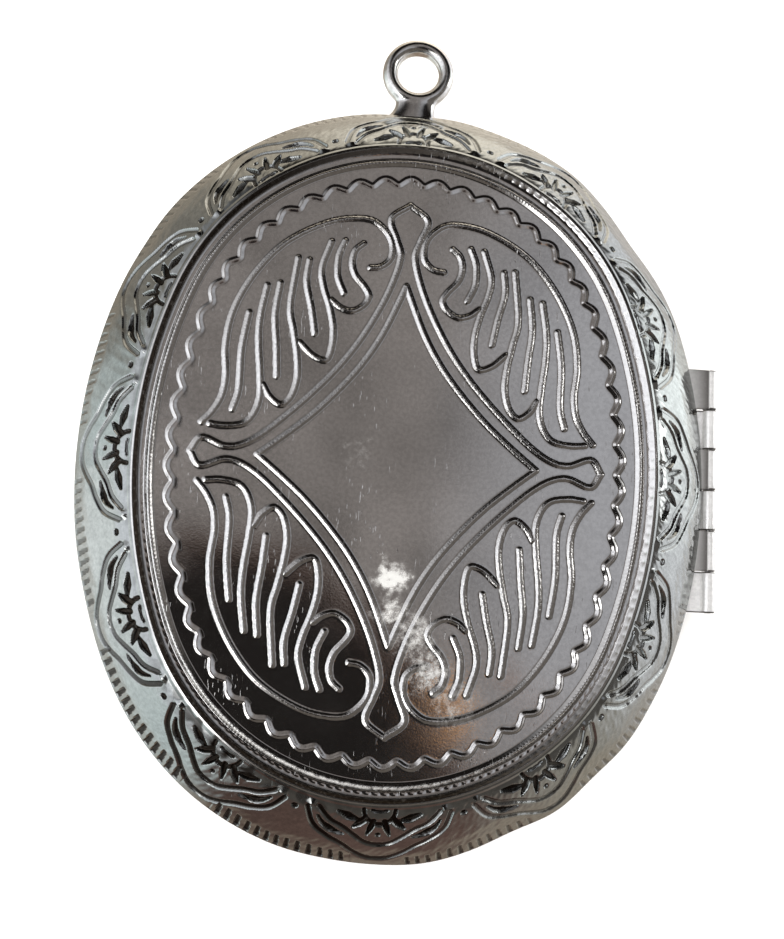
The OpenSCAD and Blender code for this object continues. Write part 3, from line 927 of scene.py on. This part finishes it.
def silver(name, tint, shine, relief=False, metal=1.0):
    """Silver plate with an uneven shine, a fine grain and scratches. With relief, it reads the layers of
    tarnish and painted shade, and of wear, that the pieces of the front carry, and has the field's hazy
    places."""
    material = bpy.data.materials.new(name)
    material.use_nodes = True
    shader = material.node_tree.nodes["Principled BSDF"]
    t = Tree(material.node_tree)
    where = t.add("ShaderNodeTexCoord", "Object")
    cloud = t.noise(where, 320.0, 4.0)
    speck = t.noise(where, 4200.0, 2.0)
    uneven = t.math("MULTIPLY_ADD", t.fade(speck, 0.3, 0.7), 0.6, t.math("MULTIPLY", cloud, 0.4))
    colour = t.mix(uneven, tuple(c * 0.78 for c in tint) + (1.0,), tint + (1.0,))
    rough = t.fade(cloud, 0.25, 0.75, shine * 0.75, shine * 1.35)
    grain = 0.1
    if relief:
        tarnish = t.add("ShaderNodeAttribute", "Fac", {"attribute_name": "tarnish"})
        worn = t.add("ShaderNodeAttribute", "Fac", {"attribute_name": "worn"})
        # the layer darkens the colour with tarnish and with painted shade
        dark = t.math("MULTIPLY", tarnish, t.fade(speck, 0.2, 0.5, 0.9, 1.0))
        colour = t.mix(dark, colour, TARNISH_AND_SHADE_COLOUR)
        rough = t.math("MAXIMUM", rough, t.math("MULTIPLY", dark, 0.4))
        rough = t.math("MAXIMUM", rough, t.math("MULTIPLY", worn, 0.13))
        haze = t.add("ShaderNodeAttribute", "Fac", {"attribute_name": "dull"})
        drift = t.noise(where, 900.0, 3.0, output="Color")
        ragged = t.vector("MULTIPLY_ADD", drift, (HAZE_WOBBLE * MM,) * 3, where)
        ragged = t.vector("SUBTRACT", ragged, (HAZE_WOBBLE / 2 * MM,) * 3)
        for (x, y), radius, strength in HAZE:
            middle = (x * MM, y * MM, (PARTING + FIELD_RISE) * MM)
            away = t.vector("DISTANCE", ragged, middle, output="Value")
            haze = t.math("MAXIMUM", haze, t.fade(away, radius * MM, 0.0, 0.0, strength))
        mottle = t.noise(where, 2600.0, 5.0, 0.75)
        haze = t.math("MULTIPLY", t.fade(t.math("MULTIPLY_ADD", haze, 0.4, mottle), 0.52, 0.9), haze)
        haze = t.math("MULTIPLY", haze, t.fade(dark, 0.5, 0.1, 0.0, 1.0))
        level = t.add("ShaderNodeSeparateXYZ", "Z", Vector=where)
        outside = t.fade(level, (PARTING + FIELD_RISE - 0.35) * MM, (PARTING + FIELD_RISE - 0.2) * MM)
        haze = t.math("MULTIPLY", haze, outside)
        colour = t.mix(haze, colour, HAZE_COLOUR)
        rough = t.math("MAXIMUM", rough, t.math("MULTIPLY", haze, 0.55))
        metal = t.math("SUBTRACT", metal, haze)
        grain = t.math("MULTIPLY_ADD", worn, 1.1, 0.1)
    t.link(colour, shader.inputs["Base Color"])
    t.link(rough, shader.inputs["Roughness"])
    if relief:
        t.link(metal, shader.inputs["Metallic"])
    else:
        shader.inputs["Metallic"].default_value = metal
    fine = t.math("MULTIPLY", t.noise(where, 8000.0, 2.0), grain)
    spread = t.add("ShaderNodeMapping", Vector=where, Rotation=(0, 0, 0.12), Scale=(11000.0, 1200.0, 900.0))
    scratch = t.fade(t.noise(spread, 1.0, 1.0), 0.68, 0.76)
    some = t.fade(t.noise(where, 240.0, 2.0), 0.5, 0.62)
    height = t.math("MULTIPLY_ADD", t.math("MULTIPLY", scratch, some), -0.4, fine)
    bump = t.add("ShaderNodeBump", Height=height, Strength=1.0, Distance=0.000012)
    t.link(bump, shader.inputs["Normal"])
    return material


front_silver = silver("front_silver", (0.93, 0.91, 0.885), 0.08, relief=True)
rim_silver = silver("rim_silver", (0.53, 0.55, 0.542), 0.13, relief=True)
back_silver = silver("back_silver", (0.92, 0.905, 0.88), 0.15)
hinge_silver = silver("hinge_silver", (0.97, 0.965, 0.96), 0.3, relief=True, metal=0.66)
pin_steel = silver("pin_steel", (0.62, 0.61, 0.6), 0.28)

front_pieces = build_front()
for piece in front_pieces:
    kind = piece.name.split("_")[0]
    piece.data.materials.append({"rim": rim_silver, "front": hinge_silver}.get(kind, front_silver))
    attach(piece, "front")
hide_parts("front_cover")
back_pieces = build_back()
for piece in back_pieces:
    piece.data.materials.append(hinge_silver if "knuckle" in piece.name else back_silver)
    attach(piece, "back")
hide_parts("back_cover")
pin = frame["nodes"]["hinge_pin"]
pin.data.materials.clear()
pin.data.materials.append(pin_steel)

# Stage: floor, camera, lights
floor_mesh = bpy.data.meshes.new("floor")
FLOOR_HALF = 0.6
FLOOR_Z = back_low.z * MM - 0.00002         # just under the locket's flat
corners = [(x * FLOOR_HALF, y * FLOOR_HALF, FLOOR_Z) for x, y in ((-1, -1), (1, -1), (1, 1), (-1, 1))]
floor_mesh.from_pydata(corners, [], [(0, 1, 2, 3)])
floor = new_object("floor", floor_mesh)
paper = bpy.data.materials.new("floor_paper")
paper.use_nodes = True
paper_shader = paper.node_tree.nodes["Principled BSDF"]
paper_shader.inputs["Base Color"].default_value = (0.9, 0.9, 0.9, 1)
paper_shader.inputs["Roughness"].default_value = 0.9
floor.data.materials.append(paper)
floor.visible_glossy = False

# The camera stands over the locket, a little towards its lower left, and is turned a little
CAMERA_AT = Vector((-3.95, -10.27, 75.46)) * MM
CAMERA_TILT, CAMERA_SIDE, CAMERA_ROLL = math.radians(-8.306), math.radians(3.093), math.radians(-2.938)
camera_data = bpy.data.cameras.new("camera")
camera_data.sensor_width = 36
camera_data.lens = 42.85
camera_data.clip_start = 0.001
camera = new_object("camera", camera_data)
turned = (Matrix.Rotation(CAMERA_ROLL, 3, "Z") @ Matrix.Rotation(CAMERA_TILT, 3, "X")
          @ Matrix.Rotation(CAMERA_SIDE, 3, "Y"))
camera.matrix_world = Matrix.Translation(CAMERA_AT) @ turned.transposed().to_4x4()
bpy.context.scene.camera = camera

# Plain tones for the room that the metal mirrors, as they show on screen
LAMP, WHITE, MIST = (265, 268, 275), (248, 252, 252), (215, 225, 225)
DOVE, CREAM, SAND = (200, 200, 203), (230, 220, 205), (175, 165, 150)
GREY, ASH, DIM = (135, 130, 122), (102, 98, 95), (93, 88, 83)
BROWN, BLACK = (86, 68, 62), (24, 22, 21)
# They follow each other all round, part way up and at the horizon. The compass direction is in
# degrees from the hinge side, turning towards the neck ring.
PART_WAY_UP = [(-180, LAMP), (-157, LAMP), (-136, DOVE), (-114, DIM), (-75, DIM), (-5, ASH), (20, ASH),
               (40, BLACK), (112, BLACK), (147, DOVE), (172, LAMP)]
HORIZON = [(-180, WHITE), (-136, MIST), (-120, BROWN), (-75, BROWN), (-40, GREY), (-5, DOVE),
           (20, WHITE), (40, DOVE), (80, CREAM), (112, SAND), (133, GREY), (150, GREY), (169, MIST)]
# Shapes straight overhead: the direction's x and y, radius, softness and colour
OVERHEAD = [
    ((-0.21, -0.282), 0.368, 0.02, (74, 56, 48)),
    ((-0.215, -0.287), 0.357, 0.012, (32, 30, 29)),
    ((0.115, -0.088), 0.013, 0.006, (232, 164, 84)),
    ((0.17, -0.055), 0.012, 0.008, (140, 105, 80)),
    ((0.21, -0.085), 0.01, 0.006, (185, 125, 75)),
]
# Small bright lights: compass direction, angle from overhead and radius in degrees
GLINTS = [(-143, 43, 9), (-172, 26, 4), (12, 68, 6)]
GLINT_LIGHT = (3.0, 3.0, 3.0, 1.0)
ROOM_WOBBLE = 0.09            # unevenness of the shapes' edges


def build_world():
    """The surroundings as soft shapes by direction, pale to the left and right and dark at the back."""
    world = bpy.data.worlds.new("studio")
    world.use_nodes = True
    t = Tree(world.node_tree)
    where = t.add("ShaderNodeTexCoord", "Generated")
    cloud = t.noise(where, 7.0, 5.0, output="Color")
    drift = t.vector("MULTIPLY_ADD", cloud, (ROOM_WOBBLE,) * 3, where)
    drift = t.vector("SUBTRACT", drift, (ROOM_WOBBLE / 2,) * 3)
    x = t.add("ShaderNodeSeparateXYZ", "X", Vector=drift)
    y = t.add("ShaderNodeSeparateXYZ", "Y", Vector=drift)
    z = t.add("ShaderNodeSeparateXYZ", "Z", Vector=drift)
    flat = t.vector("NORMALIZE", t.vector("MULTIPLY", drift, (1, 1, 0)))
    patch = t.noise(where, 14.0, 4.0, 0.65)
    turn = t.math("MULTIPLY_ADD", t.math("ARCTAN2", y, x), 1 / (2 * math.pi), 0.5)

    def all_round(tones):
        ramp = world.node_tree.nodes.new("ShaderNodeValToRGB")
        ramp.color_ramp.interpolation = "EASE"
        stops = ramp.color_ramp.elements
        for k, (compass, shade) in enumerate(tones + [(180, tones[0][1])]):
            stop = stops[k] if k < 2 else stops.new(compass / 360 + 0.5)
            stop.position = compass / 360 + 0.5
            stop.color = tone(*shade)
        t.link(turn, ramp.inputs["Fac"])
        return ramp.outputs["Color"]

    brighter = t.math("MULTIPLY", t.fade(patch, 0.3, 0.7, 0.95, 1.5), t.fade(x, -0.65, -0.1, 1.0, 1.45))
    horizon = t.add("ShaderNodeVectorMath", 0, {"operation": "SCALE"}, at0=all_round(HORIZON),
                    Scale=brighter)
    ground = t.mix(0.55, horizon, tone(178, 164, 146))
    overhead = t.mix(t.fade(patch, 0.3, 0.7), tone(98, 94, 92), tone(142, 137, 135))
    overhead = t.mix(t.fade(x, 0.06, 0.3), overhead, tone(172, 174, 180))
    raised = t.math("MULTIPLY_ADD", t.math("MAXIMUM", y, 0.0), 0.1, z)
    colour = t.mix(t.fade(raised, 0.945, 0.9), overhead, all_round(PART_WAY_UP))
    colour = t.mix(t.fade(z, 0.42, 0.22), colour, horizon)
    colour = t.mix(t.fade(z, -0.34, -0.55), colour, ground)
    left = t.vector("DOT_PRODUCT", flat, (-1, 0, 0), output="Value")
    high = t.math("MULTIPLY", t.fade(z, 0.98, 0.955), t.fade(z, 0.8, 0.9))
    window = t.math("MULTIPLY", t.fade(left, 0.62, 0.82), high)
    sparkle = t.mix(t.fade(t.noise(where, 34.0, 3.0, 0.7), 0.44, 0.6), tone(176, 179, 190),
                    (1.7, 1.7, 1.74, 1.0))
    colour = t.mix(window, colour, sparkle)
    above = t.math("GREATER_THAN", z, 0.2)
    for (at_x, at_y), radius, soft, shade_colour in OVERHEAD:
        reach = t.math("SQRT", t.math("ADD", t.math("POWER", t.math("SUBTRACT", x, at_x), 2),
                                      t.math("POWER", t.math("SUBTRACT", y, at_y), 2)))
        here = t.math("MULTIPLY", above, t.fade(reach, radius + soft, radius - soft))
        colour = t.mix(here, colour, tone(*shade_colour))
    for compass, tilt, radius in GLINTS:
        a, b = math.radians(compass), math.radians(tilt)
        at = (math.sin(b) * math.cos(a), math.sin(b) * math.sin(a), math.cos(b))
        near = t.vector("DOT_PRODUCT", t.vector("NORMALIZE", drift), at, output="Value")
        here = t.fade(near, math.cos(math.radians(radius * 1.5)), math.cos(math.radians(radius * 0.6)))
        colour = t.mix(here, colour, GLINT_LIGHT)
    # the room shows in the metal alone, and behind the floor's edge it is plain
    colour = t.mix(t.add("ShaderNodeLightPath", "Is Camera Ray"), colour, (0.9, 0.9, 0.9, 1.0))
    t.link(colour, world.node_tree.nodes["Background"].inputs["Color"])
    return world


bpy.context.scene.world = build_world()
bpy.context.scene.view_settings.view_transform = "Standard"

SOFTBOX_AT = Vector((-0.05, 0.07, 0.5))
softbox_data = bpy.data.lights.new("softbox", "AREA")
softbox_data.size = 0.9
softbox_data.energy = 8.0
softbox_data.color = (1, 0.99, 0.97)
softbox = new_object("softbox", softbox_data)
softbox.location = SOFTBOX_AT
softbox.rotation_euler = (-SOFTBOX_AT).to_track_quat("-Z", "Y").to_euler()
softbox.visible_camera = False
softbox.visible_glossy = False
